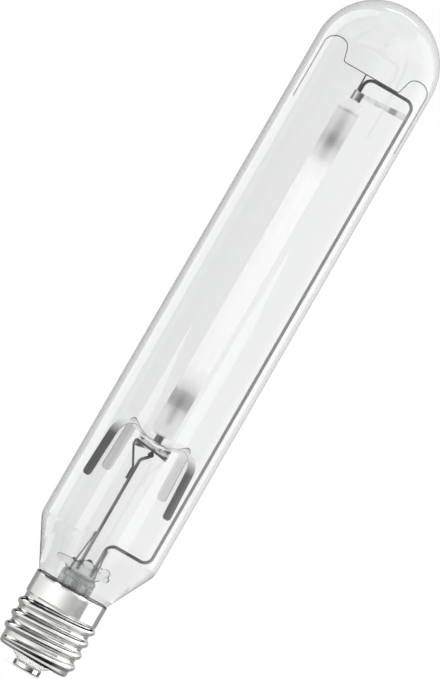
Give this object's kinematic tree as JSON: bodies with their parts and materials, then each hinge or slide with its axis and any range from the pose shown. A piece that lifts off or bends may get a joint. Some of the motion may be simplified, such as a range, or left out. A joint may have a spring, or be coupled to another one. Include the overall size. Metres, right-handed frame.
{
  "type": "sodium vapour bulb",
  "caption": "Clear tubular discharge lamp with a domed bulb, a ceramic arc tube on a wire frame with centring springs, and a large screw cap with a centre contact.",
  "frame": {"origin": "middle of the contact face at the foot of the cap", "axes": "+Z along the lamp's axis to the dome, -Y to the front, +X to the frame rod"},
  "size_m": [0.061, 0.061, 0.3588],
  "materials": {
    "nickel_plate": "bright nickel plate",
    "insulator": "glazed",
    "cement": "matte",
    "clear_glass": "clear",
    "stem_glass": "clear",
    "rod_steel": "drawn wire",
    "spring_steel": "rolled strip",
    "bright_strip": "bright rolled strip",
    "alumina": "translucent",
    "niobium": "drawn tube",
    "tungsten": "drawn wire"
  },
  "bodies": {
    "root": {"screw_shell": "nickel_plate", "centre_contact": "nickel_plate", "cap_insulator": "insulator", "cap_cement": "cement", "glass_bulb": "clear_glass", "stem": "stem_glass", "exhaust_tube": "stem_glass", "contact_lead": "rod_steel", "shell_lead": "rod_steel", "support_rod": "rod_steel", "frame_rod": "rod_steel", "brace_wire": "rod_steel", "guide_pin": "rod_steel", "spring_bracket": "bright_strip", "spring_plate": "bright_strip", "side_strap": "bright_strip", "dome_spring": "spring_steel", "leaf_spring_front_left": "spring_steel", "leaf_spring_front_right": "spring_steel", "leaf_spring_rear_left": "spring_steel", "leaf_spring_rear_right": "spring_steel", "arc_tube": "alumina", "upper_end_plug": "alumina", "lower_end_plug": "alumina", "upper_seal_ring": "alumina", "lower_seal_ring": "alumina", "upper_niobium_tube": "niobium", "lower_niobium_tube": "niobium", "upper_electrode_rod": "tungsten", "lower_electrode_rod": "tungsten", "upper_electrode_coil": "tungsten", "lower_electrode_coil": "tungsten"}
  },
  "joints": []
}
